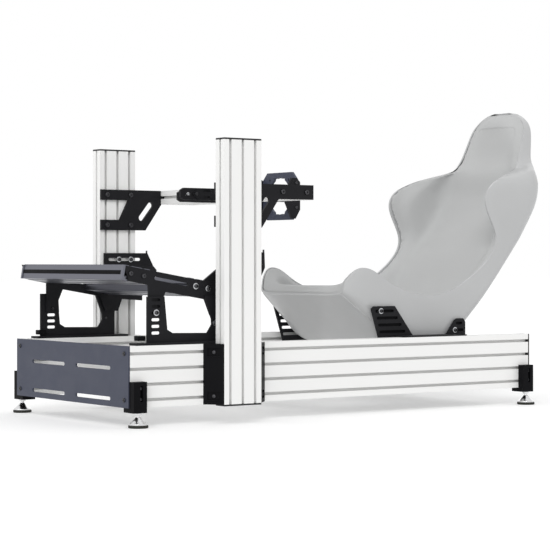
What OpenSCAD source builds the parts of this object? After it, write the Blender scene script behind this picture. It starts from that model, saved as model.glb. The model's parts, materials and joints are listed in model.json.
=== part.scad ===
// Sim racing cockpit: two tall slotted rails carry uprights, a wheel deck,
// a pedal deck and a bucket seat. Z is up, the driver faces -Y, and the
// origin is on the floor under the middle of the whole length.

/* [Profiles] */
// Side of one profile cell
cell = 40; // [36:1:45]
// Width of a slot mouth
slot_w = 8.2; // [6:0.1:10]
// Thickness of the lips over a slot
slot_lip = 4.5; // [3.5:0.1:6]
// Half width of the undercut behind the lips
slot_half = 10; // [8:0.5:11]
// Depth of a slot from the outer face
slot_depth = 12.3; // [10:0.1:13]
// Diameter of the core bores
core_d = 6.8; // [5:0.1:8.5]

/* [Base frame] */
// Length of the two rails
rail_len = 1400; // [1300:10:1600]
// Width over the two rails
frame_w = 600; // [560:5:700]
// Cells in the height of a rail
rail_cells = 4; // [4:1:5]
// Height of the rails above the floor
foot_h = 50; // [45:1:70]
// Thickness of the front plate
plate_t = 5; // [3:0.5:8]
// Thickness of the plastic end caps
cap_t = 4.5; // [2:0.5:5]
// Length of the slots in the front plate
front_slot_l = 180; // [120:5:200]
// Cells in the height of a cross member
cross_cells = 2; // [1:1:3]

/* [Uprights] */
// Length of an upright
upright_h = 700; // [650:10:900]
// Cells in the depth of an upright
upright_cells = 3; // [3:1:4]
// Distance from the front plate to the uprights
upright_y = 271; // [250:1:300]
// Wall of the cast corner brackets
casting_t = 5; // [4:0.5:7]

/* [Corner feet] */
// Height of a foot bracket
corner_h = 80; // [70:1:100]
// Thickness of a foot bracket from the rail outwards
corner_t = 22; // [20:1:30]
// Drop of a foot bracket below the rail
corner_drop = 12; // [8:1:14]
// Diameter of a foot at the floor
foot_d = 52; // [40:1:60]
// Thickness of the rubber under a foot
pad_t = 7; // [5:0.5:10]

/* [Wheel deck] */
// Height of the wheel beams above the rails' underside
beam_z = 567; // [520:1:600]
// Thickness of the wheel deck side brackets
bracket_t = 8; // [6:0.5:10]
// Height between the two rows of bracket bolts
bracket_pitch = 88; // [80:1:100]
// Distance from an upright's front to the wheel beams
beam_dy = 205; // [200:1:230]
// Cells in the depth of a wheel beam
beam_cells = 3; // [3:1:4]
// Thickness of the two arms of the wheel mount
arm_t = 8; // [6:0.5:10]
// Height of an arm
arm_h = 33; // [30:1:40]
// Width between the arms
arm_gap = 164; // [156:1:190]
// Distance from the beams' rear face to the wheel plate
wheel_reach = 102; // [95:1:130]
// Height of the wheel plate
wheel_plate_h = 138; // [130:1:170]
// Diameter of the opening in the wheel plate
wheel_hole_d = 116; // [100:1:118]
// Side of the square of bolts round that opening
wheel_bolt_sq = 92; // [84:1:96]
// Diameter of the wheel plate's bolt holes
wheel_bolt_d = 8.5; // [6:0.1:10]

/* [Pedal deck] */
// Slope of the pedal deck
pedal_tilt = 9.7; // [6:0.1:14]
// Height of the front pedal bar's middle above the rails' underside
pedal_z = 343; // [335:1:355]
// Distance from the front plate to that middle
pedal_y = 43; // [40:1:60]
// Distance between the two pedal bars
pedal_pitch = 204; // [190:1:215]
// Length of the pedal bars
pedal_bar_l = 536; // [480:2:540]
// Thickness of the pedal side plates
side_t = 6; // [4:0.5:7]
// Pitch of the height slots in the pedal bases
height_pitch = 17.3; // [16:0.1:19]

/* [Seat] */
// Widest width of the seat shell
seat_w = 462; // [440:2:480]
// Thickness of the seat shell
shell_t = 6; // [5:0.5:9]
// Thickness of the padding on the middle of the seat
pad_mid = 42; // [30:1:60]
// Thickness of the padding on the bolsters
pad_side = 34; // [24:1:45]
// Share of the depth by which the padding falls from the rim to its inner edge
pad_slope = 0.22; // [0:0.02:0.35]
// Distance from the front plate to the front ears of the seat brackets
seat_y = 873; // [840:1:900]
// Thickness of the seat side brackets
ear_t = 6; // [4:0.5:8]

/* [Hidden] */

white = [0.93, 0.93, 0.92];
black = [0.12, 0.12, 0.13];
slate = [0.32, 0.33, 0.38];
graphite = [0.38, 0.39, 0.43];
pale = [0.72, 0.72, 0.72];
chrome_grey = [0.8, 0.8, 0.82];
rubber_grey = [0.16, 0.16, 0.15];

gap = 0.3;
eps = 0.05;

rail_z = foot_h;
rail_h = rail_cells * cell;
rail_top = rail_z + rail_h;
side_x = frame_w / 2;
rail_x = side_x - cell / 2;
inner_x = side_x - cell;
rail_y0 = plate_t;
rail_y1 = rail_y0 + rail_len;

upright_d = upright_cells * cell;
upright_y1 = upright_y + upright_d;

beam_d = beam_cells * cell;
beam_y0 = upright_y + beam_dy;
beam_y1 = beam_y0 + beam_d;
beam_zc = rail_z + beam_z;
arm_x = arm_gap / 2;
wheel_y = beam_y1 + wheel_reach;

side_x0 = pedal_bar_l / 2;
ear_x = seat_w / 2 + 3;
ear_z = rail_top;

// Stations of the bucket from its front lip to its top. Each row holds the
// back or underside point (y, z), the rim point (y, z) and how far the rim
// lies inside the widest half width. y starts at the front ears, z at the
// top of the rails.
stations = [
    [-99, 119, -91, 161, 28],
    [-84, 104, -76, 182, 18],
    [-54, 76, -50, 200, 8],
    [-8, 30, -8, 193, 3],
    [36, -18, 34, 166, 1],
    [94, -36, 84, 142, 0],
    [180, -40, 172, 119, 0],
    [284, -38, 262, 122, 0],
    [374, 40, 350, 163, 0],
    [445, 114, 420, 210, 0],
    [527, 212, 461, 256, 0],
    [607, 302, 466, 302, 0],
    [667, 382, 436, 360, 0],
    [688, 436, 424, 404, 2],
    [690, 472, 452, 446, 8],
    [690, 507, 535, 481, 34],
    [708, 540, 628, 505, 82],
    [723, 588, 662, 572, 100],
    [722, 636, 686, 630, 106],
    [719, 664, 696, 660, 128],
    [718, 682, 700, 680, 160],
    [716, 690, 700, 689, 196]];
front_end = min(0, rail_y0 - 2 + (cell - foot_d) / 2);

// Moves a piece from the front plate's frame to the part's own frame
module place() translate([0, -mid_y, 0]) children();
// Draws a left piece, or its mirror image on the right
module on_side(s) if (s > 0) children(); else mirror([1, 0, 0]) children();

// Slotted profile, nx by ny cells, in the XY plane
module slot_cut() {
    m = slot_w / 2;
    n = slot_depth - slot_lip - 2;
    polygon([[-m, 1], [-m, -slot_lip], [-slot_half, -slot_lip],
        [-slot_half, -slot_lip - 2], [-slot_half + n, -slot_depth],
        [slot_half - n, -slot_depth], [slot_half, -slot_lip - 2],
        [slot_half, -slot_lip], [m, -slot_lip], [m, 1]]);
}
module profile_section(nx, ny) {
    chamber = 2 * (cell / 2 - slot_half - 3);
    difference() {
        square([nx * cell, ny * cell], center = true);
        for (i = [0 : nx - 1]) let (x = (i - (nx - 1) / 2) * cell) {
            translate([x, ny * cell / 2]) slot_cut();
            translate([x, -ny * cell / 2]) rotate(180) slot_cut();
            for (j = [0 : ny - 1])
                translate([x, (j - (ny - 1) / 2) * cell]) circle(d = core_d, $fn = 24);
        }
        for (j = [0 : ny - 1]) let (y = (j - (ny - 1) / 2) * cell) {
            translate([nx * cell / 2, y]) rotate(-90) slot_cut();
            translate([-nx * cell / 2, y]) rotate(90) slot_cut();
        }
        for (j = [1 : 1 : ny - 1]) translate([0, (j - ny / 2) * cell])
            square([cell - 2 * slot_lip, chamber], center = true);
        for (i = [1 : 1 : nx - 1]) translate([(i - nx / 2) * cell, 0])
            square([chamber, cell - 2 * slot_lip], center = true);
    }
}
// Profile along Y from y0 to y1, across X, with ny cells upwards
module profile_y(x, y0, y1, z, nx, ny)
    translate([x, y1, z]) rotate([90, 0, 0]) linear_extrude(y1 - y0) profile_section(nx, ny);
// Profile along X from x0 to x1, with nx cells along Y and ny upwards
module profile_x(x0, x1, y, z, nx, ny)
    translate([x0, y, z]) rotate([90, 0, 90]) linear_extrude(x1 - x0) profile_section(nx, ny);

// Plate in the YZ plane, its inner face at x, drawn from (y, z) children
module plate_yz(x, t) translate([x, 0, 0]) rotate([90, 0, 90]) linear_extrude(t) children();
// Slot with round ends between two points of a plane drawing
module slot_2d(a, b, d) {
    v = b - a;
    l = norm(v);
    translate(a) rotate(atan2(v[1], v[0])) {
        translate([0, -d / 2]) square([l, d]);
        circle(d = d, $fn = 24);
        translate([l, 0]) circle(d = d, $fn = 24);
    }
}

module rail(s) color(white) place()
    profile_y(s * rail_x, rail_y0, rail_y1, rail_z + rail_h / 2, 1, rail_cells);
module left_rail() rail(1);
module right_rail() rail(-1);

module rail_end_caps() color(black) place()
    for (s = [-1, 1])
        translate([s * rail_x - cell / 2, rail_y1, rail_z]) cube([cell, cap_t, rail_h]);

screw_zs = [cell / 2, rail_h - cell / 2];
module front_plate() color(slate) place() difference() {
    translate([-side_x, 0, rail_z]) cube([frame_w, plate_t, rail_h]);
    for (s = [-1, 1]) for (z = screw_zs)
        translate([s * rail_x, -1, rail_z + z]) rotate([-90, 0, 0])
            cylinder(d = core_d + 1.6, h = plate_t + 2, $fn = 24);
    for (s = [-1, 1]) for (z = [cell / 2, 2.5 * cell])
        translate([0, plate_t + 1, rail_z + z]) rotate([90, 0, 0]) linear_extrude(plate_t + 2)
            slot_2d([s * 120 - front_slot_l / 2 + 5, 0], [s * 120 + front_slot_l / 2 - 5, 0], 10);
}

cross_ys = [190, 660, rail_y1 - 60];
module crossmember(i) color(white) place()
    profile_x(-inner_x, inner_x, cross_ys[i], rail_z + cell + cross_cells * cell / 2, 1, cross_cells);
module front_crossmember() crossmember(0);
module middle_crossmember() crossmember(1);
module rear_crossmember() crossmember(2);

module upright(s) color(white) place()
    translate([s * (side_x + cell / 2), upright_y + upright_d / 2, rail_z])
        linear_extrude(upright_h) profile_section(1, upright_cells);
module left_upright() upright(1);
module right_upright() upright(-1);
module upright_caps() color(black) place()
    for (s = [-1, 1]) for (z = [rail_z - cap_t, rail_z + upright_h])
        translate([s * (side_x + cell / 2) - cell / 2 , upright_y, z]) cube([cell, upright_d, cap_t]);

// Cast bracket in the corner between a rail and an upright, dir is the
// way along Y that it points from the upright
recess = 4;
module corner_casting(s, dir) color(black) place() on_side(s)
    translate([side_x, dir > 0 ? upright_y1 : upright_y, rail_z]) mirror([0, dir > 0 ? 0 : 1, 0])
    difference() {
        linear_extrude(rail_h) polygon([[0, 0], [cell, 0], [0, cell]]);
        translate([0, 0, -1]) linear_extrude(rail_h - casting_t + 1)
            polygon([[casting_t, casting_t], [cell - 3 * casting_t, casting_t],
                [casting_t, cell - 3 * casting_t]]);
        for (z = [cell / 2 + 2, rail_h - cell / 2 - 2])
            rotate([0, 0, 45]) translate([cell / sqrt(2), 0, z])
                cube([2 * recess, 34, 22], center = true);
    }
module left_front_corner_casting() corner_casting(1, -1);
module left_rear_corner_casting() corner_casting(1, 1);
module right_front_corner_casting() corner_casting(-1, -1);
module right_rear_corner_casting() corner_casting(-1, 1);

foot_x = side_x + corner_t / 2;
foot_ys = [rail_y0 - 2 + cell / 2, rail_y1 - cell / 2];
stem_d = 10;
// Bracket on the outside of a rail, with a toe under it
module foot_bracket(s, i) color(black) place() on_side(s) translate([0, foot_ys[i], 0]) difference() {
    union() {
        translate([side_x, -cell / 2, rail_z - corner_drop]) cube([corner_t, cell, corner_h]);
        translate([side_x - 0.7 * cell, -cell / 2, rail_z - corner_drop])
            cube([0.7 * cell + eps, cell, corner_drop]);
    }
    translate([side_x - 1, 0, 0]) rotate([90, 0, 90]) linear_extrude(corner_t + 2)
        slot_2d([4, rail_z + cell / 2], [4, rail_z + cell * 1.35], 8.5);
    translate([foot_x, 0, rail_z - corner_drop - 1]) cylinder(d = stem_d, h = 9, $fn = 24);
}
module left_front_foot_bracket() foot_bracket(1, 0);
module left_rear_foot_bracket() foot_bracket(1, 1);
module right_front_foot_bracket() foot_bracket(-1, 0);
module right_rear_foot_bracket() foot_bracket(-1, 1);

module at_feet() place() for (s = [-1, 1]) for (y = foot_ys) translate([s * foot_x, y, 0]) children();
bell_h = 20;
nut_h = 6;
module levelling_feet() color(chrome_grey) at_feet() {
    rotate_extrude($fn = 48) polygon([[0, pad_t], [foot_d / 2 - 2, pad_t], [foot_d / 2 - 2, pad_t + 3],
        [foot_d / 2 - 9, pad_t + 9], [9, pad_t + bell_h - 3], [7, pad_t + bell_h],
        [stem_d / 2, pad_t + bell_h], [stem_d / 2, rail_z - corner_drop + 7], [0, rail_z - corner_drop + 7]]);
    translate([0, 0, rail_z - corner_drop - nut_h]) cylinder(d = 19, h = nut_h, $fn = 6);
}
module foot_pads() color(rubber_grey) at_feet() cylinder(d = foot_d, h = pad_t, $fn = 48);

bracket_x = side_x - bracket_t;
bracket_top = beam_zc + cell / 2;
arm_row = 30;
module wheel_bracket(s) color(black) place() on_side(s) {
    low = bracket_top - bracket_pitch - arm_row;
    plate_yz(bracket_x, bracket_t) difference() {
        polygon([[upright_y, low], [upright_y + upright_d + 31, low],
            [beam_y0 + 2, beam_zc - cell / 2], [beam_y1, beam_zc - cell / 2], [beam_y1, bracket_top],
            [upright_y, bracket_top], [upright_y, bracket_top - arm_row],
            [upright_y + 93, bracket_top - arm_row], [upright_y + 63, low + arm_row],
            [upright_y, low + arm_row]]);
        slot_2d([upright_y + 137, low + 37], [upright_y + 167, low + 74], 18);
        for (y = [cell / 2, upright_d - cell / 2]) for (z = [arm_row / 2, arm_row / 2 + bracket_pitch])
            translate([upright_y + y, low + z]) circle(d = 8.5, $fn = 24);
        for (y = [cell / 2, beam_d - cell / 2])
            translate([beam_y0 + y, beam_zc]) circle(d = 8.5, $fn = 24);
    }
}
module left_wheel_bracket() wheel_bracket(1);
module right_wheel_bracket() wheel_bracket(-1);

module wheel_beam(s) color(white) place() on_side(s)
    profile_x(arm_x + arm_t, bracket_x, beam_y0 + beam_d / 2, beam_zc, beam_cells, 1);
module left_wheel_beam() wheel_beam(1);
module right_wheel_beam() wheel_beam(-1);

arm_fronts = [beam_y0 - 76, beam_y0 - 179];
arm_zc = beam_zc - 3;
arm_grow = 34;
arm_drop = 50;
guide_t = 3;
module wheel_arm(s) color(black) place() on_side(s) {
    y0 = arm_fronts[s > 0 ? 1 : 0];
    z0 = arm_zc - arm_h / 2;
    z1 = arm_zc + arm_h / 2;
    rear = wheel_y + 9;
    low = beam_zc - arm_h / 2 - arm_drop;
    high = beam_zc + arm_h / 2 + arm_grow;
    nose_slots = [[y0 + 76, arm_zc + 8.5], [y0 + 76, arm_zc - 8.5]];
    difference() {
        union() {
            plate_yz(arm_x, arm_t)
                polygon([[y0, z0 + 6], [y0 + 11, z0], [wheel_y - 42, z0], [wheel_y - 20, low],
                    [rear - 16, low], [rear, low + 26], [rear, high - 12], [rear - 12, high],
                    [wheel_y - 20, high], [wheel_y - 40, z1], [y0 + 11, z1], [y0, z1 - 6]]);
            if (s > 0) plate_yz(arm_x + arm_t - eps, guide_t + eps)
                polygon([[y0 + 37, arm_zc], [y0 + 53, arm_zc - 13], [beam_y0 - gap, arm_zc - 13],
                    [beam_y0 - gap, arm_zc + 13], [y0 + 53, arm_zc + 13]]);
        }
        plate_yz(arm_x - 1, arm_t + guide_t + 2) {
            for (y = [cell / 2, beam_d / 2, beam_d - cell / 2])
                translate([beam_y0 + y, beam_zc]) circle(d = 8.5, $fn = 24);
            slot_2d([y0 + 17, arm_zc], [y0 + 29, arm_zc], 8.5);
            for (z = [low + 32, high - 14])
                translate([wheel_y - 5, z]) circle(d = 6.5, $fn = 24);
        }
        if (s > 0) plate_yz(arm_x + arm_t, guide_t + 1)
            for (q = nose_slots) slot_2d(q, q + [16, 0], 5.5);
    }
}
module left_wheel_arm() wheel_arm(1);
module right_wheel_arm() wheel_arm(-1);

wheel_plate_t = 8;
module wheel_plate() color(slate) place() translate([0, wheel_y + wheel_plate_t, beam_zc])
    rotate([90, 0, 0]) linear_extrude(wheel_plate_t) difference() {
        w = arm_x;
        h = wheel_plate_h / 2;
        c = 22;
        polygon([[-w, -h + c], [-w + c, -h], [w - c, -h], [w, -h + c],
            [w, h - c], [w - c, h], [-w + c, h], [-w, h - c]]);
        circle(d = wheel_hole_d - 10, $fn = 64);
        for (a = [22.5 : 45 : 360]) rotate(a)
            slot_2d([wheel_hole_d / 2 - 14, 0], [wheel_hole_d / 2 - 8, 0], 16);
        for (x = [-1, 1]) for (z = [-1, 1])
            translate([x * wheel_bolt_sq / 2, z * wheel_bolt_sq / 2]) circle(d = wheel_bolt_d, $fn = 24);
    }

// Frame of the pedal deck: Y runs down its slope from the front bar's middle
module pedal_frame() translate([0, pedal_y, rail_z + pedal_z]) rotate([-pedal_tilt, 0, 0]) children();
module pedal_bar(d) color(graphite) place() pedal_frame()
    profile_x(-side_x0, side_x0, d, 0, 2, 1);
module front_pedal_bar() pedal_bar(0);
module rear_pedal_bar() pedal_bar(pedal_pitch);

// Point of the pedal deck's slope in the (y, z) plane
function on_slope(t, n) = [pedal_y + t * cos(pedal_tilt) + n * sin(pedal_tilt),
    rail_z + pedal_z - t * sin(pedal_tilt) + n * cos(pedal_tilt)];
leg_y0 = pedal_y + 27;
leg_y1 = leg_y0 + 243;
fin_z = rail_z + 402;
fin_x = side_x - side_t;
bend_z = rail_z + 326;
bend_top = rail_z + 362;
plate_foot = rail_z + 234;
tail_y = upright_y1 + 5;
function down(points) = [for (p = points) [leg_y0 + p[0], rail_z + p[1]]];
plate_window = down([[60, 298], [46, 267], [49, 215], [61, 194], [174, 193], [193, 204],
    [204, 228], [183, 277]]);
base_window = down([[53, 287], [60, 296], [60, 320], [180, 320], [180, 280], [202, 225],
    [203, 210], [188, 188], [78, 190], [62, 199]]);
fin_slot_z = rail_z + 383.5;
fin_reach = [66, 41];
module pedal_plate(s) color(black) place() on_side(s) difference() {
    union() {
        plate_yz(side_x0, side_t)
            polygon([on_slope(-46, 18), on_slope(207, 18), [upright_y + 167, bend_z],
                [tail_y, rail_z + 276], [tail_y, rail_z + 263], [leg_y1 + 14, rail_z + 268],
                [leg_y1, plate_foot], [leg_y0 + 8, plate_foot], [leg_y0 + 8, rail_z + 316],
                on_slope(-20, -20)]);
        intersection() {
            plate_yz(side_x0 - 1, cell)
                polygon([on_slope(197, 12), on_slope(207, 18), [upright_y + 12, bend_top],
                    [upright_y + 12, fin_z], [upright_y1 + 39, fin_z], [upright_y1 + fin_reach[s > 0 ? 1 : 0], rail_z + 352],
                    [upright_y + 159, bend_z - 10]]);
            translate([0, upright_y1 + 80, 0]) rotate([90, 0, 0]) linear_extrude(upright_d + 160)
                polygon([[side_x0, bend_z - 12], [side_x0 + side_t, bend_z - 12],
                    [side_x0 + side_t, bend_z - 1], [side_x, bend_top - 1], [side_x, fin_z],
                    [fin_x, fin_z], [fin_x, bend_top + 2], [side_x0, bend_z + 2]]);
        }
    }
    plate_yz(side_x0 - 1, side_t + 2) {
        polygon(plate_window);
        slot_2d(on_slope(58, 0), on_slope(pedal_pitch - 48, 0), 8.5);
        for (t = [-20, 20]) for (d = [0, pedal_pitch])
            translate(on_slope(d + t, 0)) circle(d = 8.5, $fn = 24);
        translate([leg_y0 + 27, rail_top + 84]) circle(d = 8.5, $fn = 24);
    }
    plate_yz(fin_x - 1, side_t + 2)
        slot_2d([upright_y + 30, fin_slot_z], [upright_y1 + 12, fin_slot_z], 8.5);
}
module left_pedal_plate() pedal_plate(1);
module right_pedal_plate() pedal_plate(-1);

base_x = side_x0 + side_t;
base_h = 126;
flange_t = 6;
lip_w = 14;
base_shift = 8;
module pedal_base(s) color(black) place() on_side(s) {
    shift = s > 0 ? 0 : -base_shift;
    flange_y0 = pedal_y + (s > 0 ? -16 : 2);
    plate_yz(base_x, side_t) difference() {
        translate([leg_y0 + shift, rail_top]) square([leg_y1 - leg_y0, base_h]);
        translate([shift, 0]) polygon(base_window);
        for (i = [0 : 5]) let (z = rail_top + 31 + i * height_pitch)
            slot_2d([leg_y0 + 17, z], [leg_y0 + 36, z], 8);
        translate([leg_y0 + 213 + shift, rail_top + 54]) circle(d = 6.5, $fn = 24);
    }
    translate([base_x - lip_w, flange_y0, rail_top])
        cube([side_x - base_x + lip_w, leg_y1 + 38 + shift - flange_y0, flange_t]);
}
module left_pedal_base() pedal_base(1);
module right_pedal_base() pedal_base(-1);

ear_h = 89;
ear_rise = 3.5;
ear_drop = 34;
ear_flange = [seat_y + 57, seat_y + 292];
ear_rear = seat_y + 334;
// Height over the rails and ends along Y of each slot in the front and rear ears
ear_slots = [[-5, 14, 104], [15, 10, 98], [35, 5, 84], [55, 0, 70], [75, -5, 55],
    [15, 286, 322], [35, 301, 318]];
// Side plate with two ears, a skirt inside the rail and a flange on it
module seat_bracket(s) color(black) place() on_side(s) {
    translate([ear_x + eps, ear_flange[0], ear_z])
        cube([side_x - ear_x - 6, ear_flange[1] - ear_flange[0], ear_rise]);
    plate_yz(ear_x, ear_t) seat_ears_2d();
}
module seat_ears_2d() difference() {
    union() {
        polygon([[seat_y + 3, ear_z], [seat_y + 133, ear_z], [seat_y + 63, ear_z + ear_h],
            [seat_y - 14, ear_z + ear_h], [seat_y - 23, ear_z + ear_h - 7]]);
        polygon([[seat_y + 258, ear_z], [ear_rear, ear_z], [ear_rear, ear_z + 38],
            [seat_y + 326, ear_z + 49], [seat_y + 303, ear_z + 49], [seat_y + 294, ear_z + 45]]);
        polygon([[seat_y + 2, ear_z + ear_rise], [seat_y + 14, ear_z - ear_drop],
            [ear_rear, ear_z - ear_drop], [ear_rear, ear_z + ear_rise]]);
    }
    for (q = ear_slots)
        slot_2d([seat_y + q[1], ear_z + q[0]], [seat_y + q[2], ear_z + q[0]], 8.5);
}
module left_seat_bracket() seat_bracket(1);
module right_seat_bracket() seat_bracket(-1);

// Smooth curve through the stations, t from 0 to the last row
function cr(a, b, c, d, f) = 0.5 * (2 * b + (c - a) * f + (2 * a - 5 * b + 4 * c - d) * f * f
    + (3 * b - a - 3 * c + d) * f * f * f);
last = len(stations) - 1;
function row(i) = stations[max(0, min(last, i))];
function station(t) = let (i = min(floor(t), last - 1)) cr(row(i - 1), row(i), row(i + 1), row(i + 2), t - i);

// Point of the bucket at station t and angle a (-90 to 90 across), a
// depth d inside its outer skin, with its rim lowered by a share r
function bucket_point(t, a, d, side, r) = let (
        q = station(t),
        o = [q[0], q[1]], e = [q[2], q[3]], v = (e - o) / norm(e - o),
        w = seat_w / 2 - q[4] - side,
        b = 1 - pow(cos(abs(a)), 2 / squareness),
        p = o + v * d + (e - o - v * d) * b * (1 - r))
    [w * sign(a) * pow(sin(abs(a)), 2 / squareness), seat_y + p[0], rail_top + p[1]];

across = 16;
squareness = 7;
// Where the rings of the shell and both cushions stand
pad_start = 0.2;
hip = 7.5;
pad_end = last - 1;
marks = concat([0, pad_start], [for (i = [1 : 2 * hip]) i / 2], [hip + 0.05],
    [for (i = [2 * hip + 1 : 2 * last]) i / 2]);
seat_back = max([for (t = marks) station(t)[0]]);
mid_y = (front_end + seat_y + seat_back) / 2;
// Closed shell between two depths, from station t0 to t1
module bucket(t0, t1, d0, s0, r0, d1, s1, r1) {
    rings = [for (t = marks) if (t >= t0 && t <= t1) concat(
        [for (j = [0 : across]) bucket_point(t, -90 + 180 * j / across, d0, s0, r0)],
        [for (j = [across : -1 : 0]) bucket_point(t, -90 + 180 * j / across, d1, s1, r1)])];
    n = len(rings) - 1;
    m = 2 * (across + 1);
    points = [for (r = rings) each r];
    walls = [for (i = [0 : n - 1]) for (j = [0 : m - 1]) let (k = (j + 1) % m)
        each [[i * m + j, i * m + k, (i + 1) * m + k], [i * m + j, (i + 1) * m + k, (i + 1) * m + j]]];
    ends = [for (j = [0 : across - 1]) let (a = j, b = j + 1, c = m - 2 - j, d = m - 1 - j)
        each [[a, c, b], [a, d, c],
            [n * m + a, n * m + b, n * m + c], [n * m + a, n * m + c, n * m + d]]];
    polyhedron(points = points, faces = concat(walls, ends), convexity = 8);
}
module seat_shell() color(pale) place()
    bucket(0, last, 0, 0, 0, shell_t, shell_t, 0);
module seat_cushion() color(pale) place()
    bucket(pad_start, hip, shell_t + gap, shell_t + gap, 0, shell_t + pad_mid, shell_t + pad_side, pad_slope);
module back_cushion() color(pale) place()
    bucket(hip + 0.05, pad_end, shell_t + gap, shell_t + gap, 0, shell_t + pad_mid, shell_t + pad_side, pad_slope);

// Spacers between the ears and the flat of the shell's side, each at a
// station and an angle across, with the shell's slope left clear
spacer_at = [[3.45, 79.7, 0.85], [7.15, 72.1, 1.4]];
spacer_d = 15;
module seat_spacers() color(chrome_grey) place() for (s = [-1, 1]) on_side(s) for (q = spacer_at)
    let (p = bucket_point(q[0], q[1], 0, 0, 0), x = p[0] + q[2])
        translate([x, p[1], p[2]]) rotate([0, 90, 0]) cylinder(d = spacer_d, h = ear_x - x, $fn = 24);

left_rail();
right_rail();
rail_end_caps();
front_plate();
front_crossmember();
middle_crossmember();
rear_crossmember();
left_upright();
right_upright();
upright_caps();
left_front_corner_casting();
left_rear_corner_casting();
right_front_corner_casting();
right_rear_corner_casting();
left_front_foot_bracket();
left_rear_foot_bracket();
right_front_foot_bracket();
right_rear_foot_bracket();
levelling_feet();
foot_pads();
left_wheel_bracket();
right_wheel_bracket();
left_wheel_beam();
right_wheel_beam();
left_wheel_arm();
right_wheel_arm();
wheel_plate();
front_pedal_bar();
rear_pedal_bar();
left_pedal_plate();
right_pedal_plate();
left_pedal_base();
right_pedal_base();
left_seat_bracket();
right_seat_bracket();
seat_spacers();
seat_shell();
seat_cushion();
back_cushion();
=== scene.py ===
"""Sim racing cockpit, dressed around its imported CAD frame."""

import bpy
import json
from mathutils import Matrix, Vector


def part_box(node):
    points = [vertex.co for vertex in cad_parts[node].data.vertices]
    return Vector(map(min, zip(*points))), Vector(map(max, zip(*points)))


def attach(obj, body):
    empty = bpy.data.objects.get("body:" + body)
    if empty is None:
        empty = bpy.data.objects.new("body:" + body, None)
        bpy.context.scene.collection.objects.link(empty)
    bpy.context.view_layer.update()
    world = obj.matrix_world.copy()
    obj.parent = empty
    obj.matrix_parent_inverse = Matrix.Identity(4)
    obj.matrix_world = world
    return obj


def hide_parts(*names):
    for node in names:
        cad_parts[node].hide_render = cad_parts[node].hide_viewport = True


bl_info = {
    "name": "Sim Racing Cockpit",
    "version": (1, 0, 0),
    "blender": (4, 5, 0),
    "location": "View3D > Sidebar > Cockpit",
    "description": "Finishes, fasteners, upholstery and stage for a slotted-profile racing cockpit",
    "category": "Object",
}

import json
import math

import bmesh
import bpy
from bpy.props import FloatProperty, FloatVectorProperty, PointerProperty
from mathutils import Matrix, Vector
from mathutils.bvhtree import BVHTree

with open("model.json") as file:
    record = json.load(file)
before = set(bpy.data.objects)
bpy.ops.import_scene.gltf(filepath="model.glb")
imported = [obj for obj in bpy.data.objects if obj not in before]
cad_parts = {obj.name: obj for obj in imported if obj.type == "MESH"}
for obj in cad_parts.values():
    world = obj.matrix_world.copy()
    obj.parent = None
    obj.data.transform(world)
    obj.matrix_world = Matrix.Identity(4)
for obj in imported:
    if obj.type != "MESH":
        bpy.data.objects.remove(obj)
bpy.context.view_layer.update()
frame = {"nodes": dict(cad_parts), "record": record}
ROOT = "root"
MM = 0.001

# The frame's own measures, read from its nodes
FRONT_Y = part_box("front_plate")[0].y
RAIL_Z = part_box("left_rail")[0].z


def spot(x, y, z):
    """A point given in millimetres from the middle, the front plate's face and the rails' underside."""
    return Vector((x * MM, FRONT_Y + y * MM, RAIL_Z + z * MM))


# Finishes


def shader(name, color, roughness, metallic=0.0):
    """A new material, its nodes and its shader."""
    mat = bpy.data.materials.new(name)
    mat.use_nodes = True
    tree = mat.node_tree
    bsdf = tree.nodes["Principled BSDF"]
    bsdf.inputs["Base Color"].default_value = (*color, 1.0)
    bsdf.inputs["Roughness"].default_value = roughness
    bsdf.inputs["Metallic"].default_value = metallic
    return mat, tree, bsdf


def node(tree, kind, **values):
    made = tree.nodes.new(kind)
    for key, value in values.items():
        if key in made.inputs:
            made.inputs[key].default_value = value
        else:
            setattr(made, key, value)
    return made


def object_coords(tree, stretch=(1.0, 1.0, 1.0)):
    """Object coordinates, scaled along each axis."""
    coords = node(tree, "ShaderNodeTexCoord")
    mapping = node(tree, "ShaderNodeMapping", Scale=stretch)
    tree.links.new(coords.outputs["Object"], mapping.inputs["Vector"])
    return mapping.outputs["Vector"]


def grain(tree, coords, scale, detail=2.0):
    made = node(tree, "ShaderNodeTexNoise", Scale=scale, Detail=detail)
    tree.links.new(coords, made.inputs["Vector"])
    return made.outputs["Fac"]


def spread(tree, fac, low, high):
    """Turns a 0 to 1 pattern into a value from low to high."""
    ends = {"From Min": 0.3, "From Max": 0.7, "To Min": low, "To Max": high}
    made = node(tree, "ShaderNodeMapRange", **ends)
    tree.links.new(fac, made.inputs["Value"])
    return made.outputs["Result"]


def tinted(tree, fac, low, high, target):
    """Blends two colours by a pattern."""
    ramp = node(tree, "ShaderNodeValToRGB")
    ramp.color_ramp.elements[0].position = 0.3
    ramp.color_ramp.elements[1].position = 0.7
    ramp.color_ramp.elements[0].color = (*low, 1.0)
    ramp.color_ramp.elements[1].color = (*high, 1.0)
    tree.links.new(fac, ramp.inputs["Fac"])
    tree.links.new(ramp.outputs["Color"], target)


def bumped(tree, bsdf, height, strength, distance, before=None):
    made = node(tree, "ShaderNodeBump", Strength=strength, Distance=distance)
    tree.links.new(height, made.inputs["Height"])
    if before is not None:
        tree.links.new(before, made.inputs["Normal"])
    tree.links.new(made.outputs["Normal"], bsdf.inputs["Normal"])
    return made.outputs["Normal"]


def scaled(color, share):
    return tuple(c * share for c in color)


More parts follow.
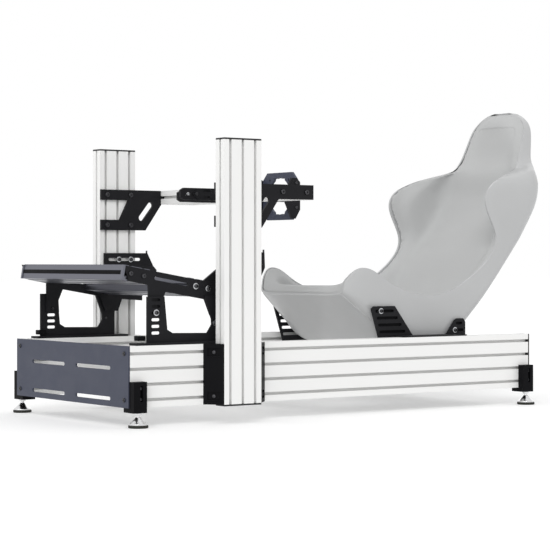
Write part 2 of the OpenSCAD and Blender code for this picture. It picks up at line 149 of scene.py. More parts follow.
def powder_coat(name, color, roughness, grain_scale, depth, shade=0.93, shine=0.5):
    """Powder coat: orange peel with a fine grain, and a little colour variation."""
    mat, tree, bsdf = shader(name, color, roughness)
    bsdf.inputs["Specular IOR Level"].default_value = shine
    coords = object_coords(tree)
    tinted(tree, grain(tree, coords, 9.0, 4.0), scaled(color, shade), color, bsdf.inputs["Base Color"])
    patches = grain(tree, coords, 22.0, 3.0)
    shine_range = spread(tree, patches, roughness - 0.06, roughness + 0.06)
    tree.links.new(shine_range, bsdf.inputs["Roughness"])
    peel = bumped(tree, bsdf, grain(tree, coords, grain_scale / 5, 2.0), 0.25, depth * 2)
    bumped(tree, bsdf, grain(tree, coords, grain_scale, 2.0), 0.5, depth, peel)
    return mat


def drawn_metal(name, color, roughness, stretch, depth):
    """Anodised or ground metal with lines along one way."""
    mat, tree, bsdf = shader(name, color, roughness, 1.0)
    lines = grain(tree, object_coords(tree, stretch), 1.0, 4.0)
    tinted(tree, lines, scaled(color, 0.82), color, bsdf.inputs["Base Color"])
    tree.links.new(spread(tree, lines, roughness - 0.08, roughness + 0.1), bsdf.inputs["Roughness"])
    bumped(tree, bsdf, lines, 0.3, depth)
    return mat


def turned_metal(name, color, roughness):
    """Plated steel with fine handling marks."""
    mat, tree, bsdf = shader(name, color, roughness, 1.0)
    coords = object_coords(tree)
    marks = grain(tree, coords, 420.0, 5.0)
    tinted(tree, grain(tree, coords, 60.0, 3.0), scaled(color, 0.85), color, bsdf.inputs["Base Color"])
    tree.links.new(spread(tree, marks, roughness * 0.7, roughness * 1.4), bsdf.inputs["Roughness"])
    bumped(tree, bsdf, marks, 0.15, 0.00003)
    return mat


def moulded(name, color, roughness, grain_scale, depth, coat=0.0, shine=0.5):
    """Moulded plastic, rubber or gelcoat."""
    mat, tree, bsdf = shader(name, color, roughness)
    bsdf.inputs["Specular IOR Level"].default_value = shine
    bsdf.inputs["Coat Weight"].default_value = coat
    bsdf.inputs["Coat Roughness"].default_value = 0.12
    coords = object_coords(tree)
    tinted(tree, grain(tree, coords, 6.0, 3.0), scaled(color, 0.95), color, bsdf.inputs["Base Color"])
    patches = grain(tree, coords, 30.0, 4.0)
    shine_range = spread(tree, patches, roughness - 0.05, roughness + 0.05)
    tree.links.new(shine_range, bsdf.inputs["Roughness"])
    bumped(tree, bsdf, grain(tree, coords, grain_scale, 3.0), 0.4, depth)
    return mat


def knitted(name, color):
    """Upholstery mesh: small round cells on a soft knit, with a little pile."""
    mat, tree, bsdf = shader(name, color, 0.86)
    bsdf.inputs["Specular IOR Level"].default_value = 0.25
    bsdf.inputs["Sheen Weight"].default_value = 0.15
    bsdf.inputs["Sheen Roughness"].default_value = 0.5
    coords = object_coords(tree)
    cells = node(tree, "ShaderNodeTexVoronoi", Scale=430.0, feature="SMOOTH_F1")
    tree.links.new(coords, cells.inputs["Vector"])
    wear = grain(tree, coords, 5.0, 4.0)
    tinted(tree, wear, scaled(color, 0.955), color, bsdf.inputs["Base Color"])
    tree.links.new(spread(tree, grain(tree, coords, 40.0, 3.0), 0.8, 0.92), bsdf.inputs["Roughness"])
    slack = bumped(tree, bsdf, grain(tree, coords, 16.0, 2.0), 0.12, 0.002)
    bumped(tree, bsdf, cells.outputs["Distance"], 0.35, 0.0004, slack)
    return mat


FINISHES = {}


def make_finishes(look):
    black, casting = look.bracket_black, look.casting_black
    FINISHES.update(
        white_profile=powder_coat("white_powder_coat", look.profile_white, 0.42, 900.0, 0.00002, 0.985),
        black_steel=powder_coat("black_powder_coat", black, 0.5, 1300.0, 0.00005, 0.8, 0.12),
        black_casting=powder_coat("black_casting_coat", casting, 0.46, 700.0, 0.00008, 0.8, 0.05),
        slate_steel=powder_coat("slate_powder_coat", look.plate_slate, 0.46, 1200.0, 0.00004, 0.93, 0.25),
        graphite_profile=drawn_metal(
            "graphite_anodised", look.bar_graphite, 0.36, (4.0, 900.0, 900.0), 0.00004),
        bright_steel=turned_metal("bright_plated_steel", (0.78, 0.78, 0.79), 0.16),
        black_oxide=turned_metal("black_oxide_steel", (0.07, 0.07, 0.075), 0.3),
        zinc_steel=turned_metal("zinc_plated_steel", (0.55, 0.56, 0.58), 0.25),
        foot_rubber=moulded("foot_rubber", (0.022, 0.022, 0.018), 0.72, 500.0, 0.0001, 0.0, 0.3),
        # near-black finish used only by the dark sheets that stand in for the shade inside slots: painted
        # shade
        slot_rubber=moulded("slot_rubber", (0.006, 0.006, 0.007), 0.75, 900.0, 0.00004, 0.0, 0.1),
        cap_plastic=moulded("cap_plastic", (0.012, 0.012, 0.013), 0.5, 800.0, 0.00006, 0.0, 0.3),
        seat_shell_grey=moulded("seat_gelcoat", look.shell_grey, 0.42, 260.0, 0.00004, 0.5, 0.4),
        seat_fabric=knitted("seat_cloth", look.seat_grey),
    )


def paint(obj, finish):
    obj.data.materials.clear()
    obj.data.materials.append(FINISHES[finish])


# Modelling


def only(*objs):
    """Selects these objects alone."""
    bpy.ops.object.select_all(action="DESELECT")
    for obj in objs:
        obj.select_set(True)
    bpy.context.view_layer.objects.active = objs[0]


def edit_faces(obj, test):
    """Enters edit mode on obj with the faces selected that pass the test."""
    only(obj)
    bpy.ops.object.mode_set(mode="EDIT")
    bpy.ops.mesh.select_mode(type="FACE")
    bpy.ops.mesh.select_all(action="DESELECT")
    mesh = bmesh.from_edit_mesh(obj.data)
    for face in mesh.faces:
        face.select_set(test(face))
    bmesh.update_edit_mesh(obj.data)


def leave_edit():
    bpy.ops.object.mode_set(mode="OBJECT")


def apply_modifier(obj, kind, **values):
    only(obj)
    made = obj.modifiers.new(kind.title(), kind)
    for key, value in values.items():
        setattr(made, key, value)
    bpy.ops.object.modifier_apply(modifier=made.name)


def disc(name, radius, depth, sides=24):
    """A round blank standing on z = 0."""
    bpy.ops.object.select_all(action="DESELECT")
    bpy.ops.mesh.primitive_cylinder_add(
        vertices=sides, radius=radius, depth=depth, location=(0, 0, depth / 2))
    made = bpy.context.active_object
    made.name = name
    bpy.ops.object.transform_apply(location=True, rotation=True, scale=True)
    return made


def top(face):
    return face.normal.z > 0.9


WASHER_H = 1.6 * MM


def washer(name, outer_d):
    """A flat washer on z = 0."""
    ring = disc(name, outer_d / 2, WASHER_H, 32)
    apply_modifier(ring, "BEVEL", width=0.4 * MM, segments=2, limit_method="ANGLE")
    return ring


def screw(name, head_d, head_h, socket, base=0.0):
    """A socket screw's head, round its own Z axis, with its underside at a height."""
    head = disc(name, head_d / 2, head_h, 32)
    edit_faces(head, top)
    bpy.ops.mesh.bevel(offset=head_h * 0.55, segments=4, affect="EDGES", profile=0.6)
    leave_edit()
    hexagon = disc("socket", socket / 2 / math.cos(math.pi / 6), head_h, 6)
    hexagon.data.transform(Matrix.Translation((0, 0, head_h * 0.4)))
    only(head)
    cut = head.modifiers.new("Socket", "BOOLEAN")
    cut.object = hexagon
    cut.solver = "EXACT"
    bpy.ops.object.modifier_apply(modifier=cut.name)
    bpy.data.objects.remove(hexagon)
    head.data.transform(Matrix.Translation((0, 0, base)))
    return head


def spread_copies(name, template, places, finish):
    """Copies of a part at each (point, axis) as one piece that rides on the frame."""
    copies = []
    for point, axis in places:
        copy = template.copy()
        copy.data = template.data.copy()
        bpy.context.scene.collection.objects.link(copy)
        turn = Vector((0, 0, 1)).rotation_difference(Vector(axis)).to_matrix().to_4x4()
        copy.data.transform(Matrix.Translation(point) @ turn)
        copies.append(copy)
    only(*copies)
    if len(copies) > 1:
        bpy.ops.object.join()
    piece = bpy.context.view_layer.objects.active
    piece.name = name
    piece.data.name = name
    only(piece)
    bpy.ops.object.shade_smooth_by_angle(angle=math.radians(35))
    paint(piece, finish)
    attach(piece, ROOT)
    return piece


def merged_copy(node_name, name):
    """A copy of a CAD node's mesh as a new object, with its loose triangles joined."""
    source = frame["nodes"][node_name]
    made = bpy.data.objects.new(name, source.data.copy())
    made.data.name = name
    bpy.context.scene.collection.objects.link(made)
    made.data.transform(source.matrix_world)
    edit_faces(made, lambda face: True)
    bpy.ops.mesh.remove_doubles(threshold=0.02 * MM)
    leave_edit()
    return made


def finish_piece(piece, finish, slot, *stands_for, angle=35):
    """Shades a piece, paints it, ties it to the frame and hides the nodes it stands for."""
    only(piece)
    bpy.ops.object.shade_smooth_by_angle(angle=math.radians(angle))
    paint(piece, finish)
    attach(piece, ROOT)
    if stands_for:
        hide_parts(*stands_for)


def crease_sharp(obj, angle):
    """Creases the edges where faces meet at more than an angle."""
    mesh = bmesh.new()
    mesh.from_mesh(obj.data)
    layer = mesh.edges.layers.float.get("crease_edge") or mesh.edges.layers.float.new("crease_edge")
    for edge in mesh.edges:
        if len(edge.link_faces) != 2 or edge.calc_face_angle() > angle:
            edge[layer] = 1.0
    mesh.to_mesh(obj.data)
    mesh.free()


def ease(value, low, high):
    """0 at low, 1 at high, smooth between."""
    share = min(1.0, max(0.0, (value - low) / (high - low)))
    return share * share * (3.0 - 2.0 * share)


def shell_wall():
    """A search tree over the seat shell's faces."""
    shell = frame["nodes"]["seat_shell"]
    corners = [shell.matrix_world @ vert.co for vert in shell.data.vertices]
    return BVHTree.FromPolygons(corners, [tuple(face.vertices) for face in shell.data.polygons])


def weigh_free(obj, wall, near, far):
    """Adds a vertex group that is 0 beside the shell and 1 away from it, and gives its name."""
    group = obj.vertex_groups.new(name="free")
    for vert in obj.data.vertices:
        group.add([vert.index], ease(wall.find_nearest(vert.co)[3], near, far), "REPLACE")
    return group.name


def inflate(obj, wall, pressure, cap):
    """Swells a mesh as a cloth bag under pressure, no point past the cap or into the shell."""
    start = [vert.co.copy() for vert in obj.data.vertices]
    only(obj)
    cloth = obj.modifiers.new("Cloth", "CLOTH")
    settings = cloth.settings
    settings.quality = 4
    settings.use_pressure = True
    settings.uniform_pressure_force = pressure
    settings.tension_stiffness = 12.0
    settings.bending_stiffness = 2.0
    settings.effector_weights.gravity = 0.0
    cloth.collision_settings.use_collision = False
    scene = bpy.context.scene
    for step in range(1, 21):
        scene.frame_set(step)
    bpy.ops.object.modifier_apply(modifier=cloth.name)
    scene.frame_set(1)
    for vert, old in zip(obj.data.vertices, start):
        move = vert.co - old
        if move.length > cap:
            move *= cap / move.length
        room = wall.find_nearest(old)[3]
        vert.co = old + move * ease(room, 6 * MM, 24 * MM)
    obj.data.update()


def press(obj, depth_at):
    """Moves each point inwards by the depth that a rule gives for its place and normal."""
    normals = [vert.normal.copy() for vert in obj.data.vertices]
    for vert, normal in zip(obj.data.vertices, normals):
        depth = depth_at(vert.co, normal)
        if depth:
            vert.co -= normal * depth
    obj.data.update()


def both(points):
    """Points on the left and their mirror images, each (x, y, z) with the way its head faces."""
    out = []
    for (x, y, z), (ax, ay, az) in points:
        out.append((spot(x, y, z), (ax, ay, az)))
        out.append((spot(-x, y, z), (-ax, ay, az)))
    return out


class CockpitFinish(bpy.types.PropertyGroup):
    """Colours of the cockpit's finishes"""

    profile_white: FloatVectorProperty(
        name="Profile white", description="Powder coat of the profiles", subtype="COLOR", size=3,
        default=(0.86, 0.86, 0.85), min=0.0, max=1.0,
    )
    bracket_black: FloatVectorProperty(
        name="Bracket black", description="Powder coat of the steel plates", subtype="COLOR", size=3,
        default=(0.0125, 0.0125, 0.0145), min=0.0, max=1.0,
    )
    casting_black: FloatVectorProperty(
        name="Casting black", description="Coat of the cast brackets", subtype="COLOR", size=3,
        default=(0.0055, 0.0055, 0.0065), min=0.0, max=1.0,
    )
    plate_slate: FloatVectorProperty(
        name="Plate slate", description="Coat of the front and wheel plates", subtype="COLOR", size=3,
        default=(0.053, 0.059, 0.087), min=0.0, max=1.0,
    )
    bar_graphite: FloatVectorProperty(
        name="Bar graphite", description="Anodising of the pedal bars", subtype="COLOR", size=3,
        default=(0.18, 0.184, 0.215), min=0.0, max=1.0,
    )
    seat_grey: FloatVectorProperty(
        name="Seat grey", description="Cloth of the seat", subtype="COLOR", size=3,
        default=(0.485, 0.49, 0.49), min=0.0, max=1.0,
    )
    shell_grey: FloatVectorProperty(
        name="Shell grey", description="Gelcoat of the seat's shell", subtype="COLOR", size=3,
        default=(0.47, 0.475, 0.478), min=0.0, max=1.0,
    )


class CockpitSizes(bpy.types.PropertyGroup):
    """Sizes of the fasteners"""

    head_d: FloatProperty(
        name="Screw head", description="Diameter of the button heads", subtype="DISTANCE", unit="LENGTH",
        default=0.014, min=0.008, max=0.02,
    )
    washer_d: FloatProperty(
        name="Washer", description="Diameter of the washers", subtype="DISTANCE", unit="LENGTH",
        default=0.017, min=0.01, max=0.03,
    )


class COCKPIT_OT_frame_finish(bpy.types.Operator):
    """Gives every CAD node its finish"""

    bl_idname = "cockpit.frame_finish"
    bl_label = "Frame finish"

    def execute(self, context):
        make_finishes(context.scene.cockpit_finish)
        slots = {s["node"]: s["material_slot"] for s in frame["record"]["subparts"]}
        for name, obj in frame["nodes"].items():
            paint(obj, slots[name])
        return {"FINISHED"}


# The inner face of the seat's side brackets, and where their front ears and the rails' top lie
EAR_X = 233.95
SEAT_Y = 873.0
SEAT_Z = 160.0
PAD_PRESSURE = 4.0
PAD_CAP = 6 * MM


def seat_place(point):
    """A point as (x, y, z) in millimetres from the seat's front ears and the top of the rails."""
    home = spot(0, SEAT_Y, SEAT_Z)
    return (point - home) / MM


def head_panel(x, z):
    """How far inside the headrest's sunk panel a point lies, in millimetres."""
    corner = 18.0
    dx = abs(x) - (88.0 - corner)
    dz = abs(z - 608.0) - (33.0 - corner)
    return corner - math.hypot(max(dx, 0.0), max(dz, 0.0)) - min(max(dx, dz), 0.0)


def back_press(co, normal):
    place = seat_place(co)
    x, z = place.x, place.z
    depth = -4 * MM * ease(z, 640, 680) * max(0.0, normal.z)
    if normal.y < -0.2:
        depth += 2.4 * MM * ease(head_panel(x, z), -2.5, 2.5) * ease(z, 585, 630)
    return depth


def bead(name, path, radius):
    """A round bead along a path, half sunk in what carries it."""
    bpy.ops.object.select_all(action="DESELECT")
    bpy.ops.curve.primitive_nurbs_path_add(radius=1.0, location=(0, 0, 0))
    curve = bpy.context.active_object
    curve.name = name
    curve.data.splines.clear()
    line = curve.data.splines.new("POLY")
    line.points.add(len(path) - 1)
    for point, place in zip(line.points, path):
        point.co = (*place, 1.0)
    curve.data.bevel_depth = radius
    curve.data.bevel_resolution = 3
    curve.data.use_fill_caps = True
    only(curve)
    bpy.ops.object.convert(target="MESH")
    return bpy.context.view_layer.objects.active


class COCKPIT_OT_seat_shell(bpy.types.Operator):
    """Builds the seat's smooth outer shell"""

    bl_idname = "cockpit.seat_shell"
    bl_label = "Seat shell"

    def execute(self, context):
        shell = merged_copy("seat_shell", "bucket_shell")
        edit_faces(shell, lambda face: True)
        limit = math.radians(60)
        bpy.ops.mesh.tris_convert_to_quads(face_threshold=limit, shape_threshold=limit)
        leave_edit()
        crease_sharp(shell, math.radians(40))
        apply_modifier(shell, "SUBSURF", levels=2, render_levels=2)
        apply_modifier(
            shell, "BEVEL", width=1.2 * MM, segments=3, limit_method="ANGLE", angle_limit=math.radians(45))
        finish_piece(shell, "seat_shell_grey", "seat_shell_grey", "seat_shell")
        skin = BVHTree.FromObject(shell, context.evaluated_depsgraph_get())
        for side, name in ((1, "left"), (-1, "right")):
            path = []
            for i in range(13):
                y = 762 + 108 * i / 12
                z = 296 - 90 * i / 12
                hit = skin.ray_cast(spot(side * 400, y, z), Vector((-side, 0, 0)))[0]
                if hit is not None:
                    path.append(hit)
            finish_piece(bead(f"{name}_flank_bead", path, 1.8 * MM), "seat_shell_grey", "seat_shell_grey")
        return {"FINISHED"}


class COCKPIT_OT_seat_pads(bpy.types.Operator):
    """Builds the padded seat and back as cloth bags under pressure"""

    bl_idname = "cockpit.seat_pads"
    bl_label = "Seat pads"

    def execute(self, context):
        wall = shell_wall()
        pads = (("seat_pad", "seat_cushion", None), ("back_pad", "back_cushion", back_press))
        for name, solid, rule in pads:
            pad = merged_copy(solid, name)
            apply_modifier(pad, "REMESH", mode="VOXEL", voxel_size=5 * MM)
            apply_modifier(pad, "SMOOTH", factor=0.5, iterations=1)
            free = weigh_free(pad, wall, 3 * MM, 20 * MM)
            apply_modifier(pad, "SMOOTH", factor=0.5, iterations=150, vertex_group=free)
            inflate(pad, wall, PAD_PRESSURE, PAD_CAP)
            apply_modifier(pad, "SMOOTH", factor=0.5, iterations=60, vertex_group=free)
            apply_modifier(pad, "SUBSURF", levels=1, render_levels=1)
            if rule:
                press(pad, rule)
            finish_piece(pad, "seat_fabric", "seat_fabric", solid, angle=60)
        return {"FINISHED"}


class COCKPIT_OT_feet(bpy.types.Operator):
    """Builds the levelling feet, their pads and the seat's spacers with turned, eased edges"""

    bl_idname = "cockpit.feet"
    bl_label = "Levelling feet"

    def execute(self, context):
        for solid, name, finish, width in (
            ("levelling_feet", "levelling_foot_bells", "bright_steel", 0.8),
            ("foot_pads", "foot_pad_rubbers", "foot_rubber", 1.6),
            ("seat_spacers", "seat_spacer_tubes", "bright_steel", 0.4),
        ):
            piece = merged_copy(solid, name)
            apply_modifier(piece, "DECIMATE", decimate_type="DISSOLVE", angle_limit=math.radians(0.5))
            apply_modifier(piece, "BEVEL", width=width * MM, segments=3, limit_method="ANGLE",
                angle_limit=math.radians(28))
            finish_piece(piece, finish, finish, solid, angle=30)
        return {"FINISHED"}


class COCKPIT_OT_wheel_deck_screws(bpy.types.Operator):
    """Adds the screws of the wheel deck"""

    bl_idname = "cockpit.wheel_deck_screws"
    bl_label = "Wheel deck screws"

    def execute(self, context):
        sizes = context.scene.cockpit_sizes
        black = screw("black_screw", sizes.head_d, 4.4 * MM, 5 * MM)
        small = screw("small_screw", 9 * MM, 3 * MM, 3.5 * MM)
        inner = [((292, y, z), (-1, 0, 0)) for y in (291, 371) for z in (484, 572)]
        outer = [((300, y, 567), (1, 0, 0)) for y in (491, 572)]
        spread_copies("wheel_bracket_screws", black, both(inner + outer), "black_oxide")
        arms = [((82, y, 567), (-1, 0, 0)) for y in (496, 536, 576)]
        plates = [((90, 693, z), (1, 0, 0)) for z in (532.5, 603.5)]
        spread_copies("wheel_arm_screws", small, both(arms + plates), "black_oxide")
        nose = [(spot(93, 347, 564), (1, 0, 0))]
        spread_copies("wheel_arm_guide_screw", small, nose, "black_oxide")
        nut = [(spot(90, 320, 564), (1, 0, 0))]
        spread_copies("wheel_arm_nose_nut", small, nut, "zinc_steel")
        bpy.data.objects.remove(black)
        bpy.data.objects.remove(small)
        return {"FINISHED"}


def on_slope(t, n=0.0):
    """A point (y, z) of the pedal deck's slope, t down from the front bar's middle."""
    tilt = math.radians(9.7)
    return (43 + t * math.cos(tilt) + n * math.sin(tilt), 343 - t * math.sin(tilt) + n * math.cos(tilt))


class COCKPIT_OT_pedal_deck_screws(bpy.types.Operator):
    """Adds the screws, washers and pins of the pedal deck"""

    bl_idname = "cockpit.pedal_deck_screws"
    bl_label = "Pedal deck screws"

    def execute(self, context):
        sizes = context.scene.cockpit_sizes
        ring = washer("deck_washer", sizes.washer_d)
        bolt = screw("deck_bolt", 11 * MM, 5 * MM, 6 * MM, WASHER_H)
        black = screw("black_screw", 12.5 * MM, 4 * MM, 5 * MM)
        tip = screw("screw_tip", 6.5 * MM, 3.5 * MM, 1.5 * MM)
        front = [((274, *on_slope(t)), (1, 0, 0)) for t in (-20, 20)]
        spread_copies("pedal_bar_screws", black, both(front), "black_oxide")
        slots = [((274, *on_slope(t)), (1, 0, 0)) for t in (184, 224)]
        slots += [((280, 97, 244), (1, 0, 0))]
        slots += [((294, y, 383.5), (-1, 0, 0)) for y in (331.6, 371.9)]
        rear = [(spot(280, 283, 214), (1, 0, 0)), (spot(-280, 275, 214), (-1, 0, 0))]
        spread_copies("pedal_slot_washers", ring, both(slots) + rear, "zinc_steel")
        spread_copies("pedal_slot_bolts", bolt, both(slots) + rear, "black_oxide")
        tips = [((268, 97, 244), (-1, 0, 0))]
        rear = [(spot(274, 283, 214), (-1, 0, 0)), (spot(-274, 275, 214), (1, 0, 0))]
        spread_copies("pedal_screw_tips", tip, both(tips) + rear, "black_oxide")
        pins = [((297, 428.7, 401.5), (0, 0, 1))]
        pin = disc("fin_pin", 2.6 * MM, 8 * MM, 16)
        apply_modifier(pin, "BEVEL", width=0.8 * MM, segments=2, limit_method="ANGLE")
        spread_copies("pedal_fin_pins", pin, both(pins), "black_oxide")
        for spare in (ring, bolt, black, tip, pin):
            bpy.data.objects.remove(spare)
        return {"FINISHED"}


def side_plate(name, side, corners, x, thickness, finish, slot):
    """A flat plate across the X axis: its outline as (y, z) in millimetres, its outer face at x."""
    bpy.ops.object.select_all(action="DESELECT")
    bpy.ops.mesh.primitive_circle_add(vertices=len(corners), radius=1.0, fill_type="NGON")
    plate = bpy.context.active_object
    plate.name = name
    for vert, (y, z) in zip(plate.data.vertices, corners):
        vert.co = spot(side * (x - thickness), y, z)
    edit_faces(plate, lambda face: True)
    bpy.ops.mesh.extrude_region_move(TRANSFORM_OT_translate={"value": (side * thickness * MM, 0, 0)})
    bpy.ops.mesh.select_all(action="SELECT")
    bpy.ops.mesh.normals_make_consistent(inside=False)
    leave_edit()
    apply_modifier(plate, "BEVEL", width=0.4 * MM, segments=2, limit_method="ANGLE")
    finish_piece(plate, finish, slot)
    return plate


def block(name, low, high, width, finish, slot, place=spot):
    """A bevelled block between two corners, put in place by a rule."""
    bpy.ops.object.select_all(action="DESELECT")
    bpy.ops.mesh.primitive_cube_add(size=1.0)
    made = bpy.context.active_object
    made.name = name
    for vert in made.data.vertices:
        vert.co = place(*(lo + (hi - lo) * (share + 0.5) for lo, hi, share in zip(low, high, vert.co)))
    apply_modifier(made, "BEVEL", width=width * MM, segments=3, limit_method="ANGLE")
    finish_piece(made, finish, slot)
    return made


def deck_spot(x, t, n):
    return spot(x, *on_slope(t, n))


class COCKPIT_OT_pedal_trim(bpy.types.Operator):
    """Adds a black strip in the front bar's slot as painted shade, the end caps of the pedal bars, and the
    stops on the pedal bases
    """

    bl_idname = "cockpit.pedal_trim"
    bl_label = "Pedal trim"

    def execute(self, context):
        # A black strip sunk in the front bar's slot, standing in for the shadow inside it: painted shade
        block("front_slot_shade_strip", (-266, -40.8, -5.4), (266, -38.4, 5.4), 0.4,
            "slot_rubber", "black_steel", deck_spot)
        for name, side in (("left", 1), ("right", -1)):
            ends = sorted((side * 267.8, side * 274.4))
            front = -46.8 if side > 0 else -42.6
            block(f"bar_end_{name}", (ends[0], front, -20.4), (ends[1], -38.6, 18.4), 0.5,
                "graphite_profile", "graphite_profile", deck_spot)
            ends = sorted((side * 254.0, side * 274.3))
            block(f"base_stop_{name}", (ends[0], 45, 171), (ends[1], 69, 184), 1.2,
                "black_casting", "black_steel")
        return {"FINISHED"}


class COCKPIT_OT_painted_shade_backs(bpy.types.Operator):
    """Adds black inner plates behind the slots of the seat's side brackets, as painted shade"""

    bl_idname = "cockpit.bracket_backs"
    bl_label = "Slot shade backs"

    def execute(self, context):
        # Black sheets behind the slots stand in for the shade seen through them: painted shade, with a
        # smaller outline at the right front
        front = [(6, 4), (124, 4), (60, 84), (-13, 84), (-18, 79)]
        rear = [(264, 4), (331, 4), (331, 36), (324, 45), (304, 45), (297, 42)]
        under = [(51, 4), (124, 4), (60, 84), (-8, 84)]
        for name, side, outline in (
            ("left_front_slot_shade", 1, front), ("left_rear_slot_shade", 1, rear),
            ("right_front_slot_shade", -1, under), ("right_rear_slot_shade", -1, rear),
        ):
            corners = [(SEAT_Y + y, SEAT_Z + z) for y, z in outline]
            side_plate(name, side, corners, EAR_X, 1.6, "slot_rubber", "black_steel")
        return {"FINISHED"}


class COCKPIT_OT_base_screws(bpy.types.Operator):
    """Adds the screws of the front plate, the cast brackets, the foot brackets and the seat brackets"""

    bl_idname = "cockpit.base_screws"
    bl_label = "Base screws"

    def execute(self, context):
        sizes = context.scene.cockpit_sizes
        black = screw("black_screw", 11.5 * MM, 3.2 * MM, 4 * MM)
        small = screw("small_screw", 10 * MM, 4 * MM, 5 * MM)
        tiny = screw("tiny_screw", 8 * MM, 3 * MM, 4 * MM)
        ring = washer("seat_washer", sizes.washer_d)
        bolt = screw("seat_bolt", 11 * MM, 5 * MM, 6 * MM, WASHER_H)
        corners = [((280, 0, z), (0, -1, 0)) for z in (20, 140)]
        spread_copies("front_plate_screws", black, both(corners), "black_oxide")
        cast = []
        for z in (22, 138):
            cast += [((317.2, 253.8, z), (1, -1, 0)), ((317.2, 408.2, z), (1, 1, 0))]
        spread_copies("casting_screws", small, both(cast), "black_oxide")
        brackets = [((316, y, z), (1, 0, 0)) for y in (27, 1389) for z in (23, 51)]
        spread_copies("foot_bracket_screws", tiny, both(brackets), "black_oxide")
        ears = [
            ((240, SEAT_Y + 10.9, SEAT_Z + 75.3), (1, 0, 0)),
            ((240, SEAT_Y + 292.5, SEAT_Z + 15), (1, 0, 0)),
        ]
        spread_copies("seat_bracket_washers", ring, both(ears), "zinc_steel")
        spread_copies("seat_bracket_bolts", bolt, both(ears), "black_oxide")
        for spare in (black, small, tiny, ring, bolt):
            bpy.data.objects.remove(spare)
        return {"FINISHED"}


class COCKPIT_OT_stage(bpy.types.Operator):
    """Adds the floor, the lights, the world and the camera"""

    bl_idname = "cockpit.stage"
    bl_label = "Stage"

    def execute(self, context):
        scene = context.scene
        bpy.ops.object.select_all(action="DESELECT")
        bpy.ops.mesh.primitive_plane_add(size=60.0, location=(0, 0, -0.0005))
        floor = context.active_object
        floor.name = "studio_floor"
        mat = bpy.data.materials.new("studio_floor")
        mat.use_nodes = True
        tree = mat.node_tree
        tree.nodes.clear()
        out = node(tree, "ShaderNodeOutputMaterial")
        matt = node(tree, "ShaderNodeBsdfDiffuse", Color=(0.12, 0.12, 0.12, 1.0))
        lift = node(tree, "ShaderNodeEmission", Color=(1.0, 1.0, 1.0, 1.0), Strength=0.74)
        unseen = node(tree, "ShaderNodeAddShader")
        tree.links.new(matt.outputs[0], unseen.inputs[0])
        tree.links.new(lift.outputs[0], unseen.inputs[1])
        dim = node(tree, "ShaderNodeBsdfDiffuse", Color=(0.9, 0.9, 0.9, 1.0))
        glow = node(tree, "ShaderNodeEmission", Color=(1.0, 1.0, 1.0, 1.0), Strength=0.16)
        seen = node(tree, "ShaderNodeAddShader")
        mix = node(tree, "ShaderNodeMixShader")
        tree.links.new(dim.outputs[0], seen.inputs[0])
        tree.links.new(glow.outputs[0], seen.inputs[1])
        tree.links.new(camera_like(tree), mix.inputs[0])
        tree.links.new(unseen.outputs[0], mix.inputs[1])
        tree.links.new(seen.outputs[0], mix.inputs[2])
        tree.links.new(mix.outputs[0], out.inputs[0])
        floor.data.materials.append(mat)

        world = bpy.data.worlds.new("studio")
        scene.world = world
        world.use_nodes = True
        tree = world.node_tree
        tree.nodes.clear()
        out = node(tree, "ShaderNodeOutputWorld")
        soft = node(tree, "ShaderNodeBackground", Color=(1.0, 1.0, 1.0, 1.0), Strength=0.78)
        white = node(tree, "ShaderNodeBackground", Color=(1.0, 1.0, 1.0, 1.0), Strength=1.0)
        mix = node(tree, "ShaderNodeMixShader")
        tree.links.new(camera_like(tree), mix.inputs[0])
        tree.links.new(soft.outputs[0], mix.inputs[1])
        tree.links.new(white.outputs[0], mix.inputs[2])
        tree.links.new(mix.outputs[0], out.inputs[0])

        for name, from_way, angle, power in (
            ("key", (0.7, -0.62, 0.6), 25.0, 0.92),
            ("front", (0.3, -1.0, 0.05), 60.0, 0.66),
            ("rear", (-0.6, 0.5, 0.5), 60.0, 0.3),
        ):
            light = bpy.data.lights.new(name, "SUN")
            light.angle = math.radians(angle)
            light.energy = power
            lamp = bpy.data.objects.new(name, light)
            lamp.location = Vector(from_way) * 4.0
            lamp.rotation_euler = (-Vector(from_way)).to_track_quat("-Z", "Y").to_euler()
            scene.collection.objects.link(lamp)

        camera = bpy.data.cameras.new("view")
        camera.sensor_width = 36.0
        camera.lens = 122.52
        camera.shift_y = -0.0246
        camera.clip_end = 100.0
        eye = bpy.data.objects.new("view", camera)
        eye.location = (4.4069, FRONT_Y - 2.5159, RAIL_Z + 0.3774)
        eye.rotation_euler = (math.radians(90), 0, math.radians(54.027))
        scene.collection.objects.link(eye)
        scene.camera = eye
        scene.view_settings.view_transform = "Standard"
        return {"FINISHED"}


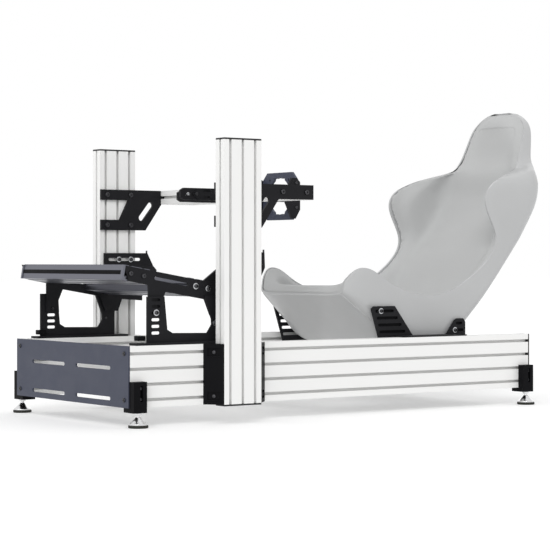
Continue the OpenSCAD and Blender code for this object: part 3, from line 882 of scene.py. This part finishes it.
def camera_like(tree):
    """1 for what the camera sees, straight, mirrored or through glass."""
    path = node(tree, "ShaderNodeLightPath")
    first = node(tree, "ShaderNodeMath", operation="MAXIMUM")
    tree.links.new(path.outputs["Is Camera Ray"], first.inputs[0])
    tree.links.new(path.outputs["Is Glossy Ray"], first.inputs[1])
    last = node(tree, "ShaderNodeMath", operation="MAXIMUM")
    tree.links.new(first.outputs[0], last.inputs[0])
    tree.links.new(path.outputs["Is Transmission Ray"], last.inputs[1])
    return last.outputs[0]


OPERATORS = (
    COCKPIT_OT_frame_finish,
    COCKPIT_OT_seat_shell,
    COCKPIT_OT_seat_pads,
    COCKPIT_OT_feet,
    COCKPIT_OT_wheel_deck_screws,
    COCKPIT_OT_pedal_deck_screws,
    COCKPIT_OT_base_screws,
    COCKPIT_OT_pedal_trim,
    COCKPIT_OT_painted_shade_backs,
    COCKPIT_OT_stage,
)


class COCKPIT_PT_panel(bpy.types.Panel):
    """Lists the cockpit's sizes, colours and steps"""

    bl_idname = "COCKPIT_PT_panel"
    bl_label = "Cockpit"
    bl_space_type = "VIEW_3D"
    bl_region_type = "UI"
    bl_category = "Cockpit"

    def draw(self, context):
        for group in (context.scene.cockpit_finish, context.scene.cockpit_sizes):
            for key in group.__annotations__:
                self.layout.prop(group, key)
        for step in OPERATORS:
            self.layout.operator(step.bl_idname)


CLASSES = (CockpitFinish, CockpitSizes, *OPERATORS, COCKPIT_PT_panel)


def register():
    for made in CLASSES:
        bpy.utils.register_class(made)
    bpy.types.Scene.cockpit_finish = PointerProperty(type=CockpitFinish)
    bpy.types.Scene.cockpit_sizes = PointerProperty(type=CockpitSizes)


def unregister():
    del bpy.types.Scene.cockpit_sizes
    del bpy.types.Scene.cockpit_finish
    for made in reversed(CLASSES):
        bpy.utils.unregister_class(made)


def main():
    register()
    bpy.ops.cockpit.frame_finish()
    bpy.ops.cockpit.seat_shell()
    bpy.ops.cockpit.seat_pads()
    bpy.ops.cockpit.feet()
    bpy.ops.cockpit.wheel_deck_screws()
    bpy.ops.cockpit.pedal_deck_screws()
    bpy.ops.cockpit.base_screws()
    bpy.ops.cockpit.pedal_trim()
    bpy.ops.cockpit.bracket_backs()
    bpy.ops.cockpit.stage()


if __name__ == "__main__":
    main()
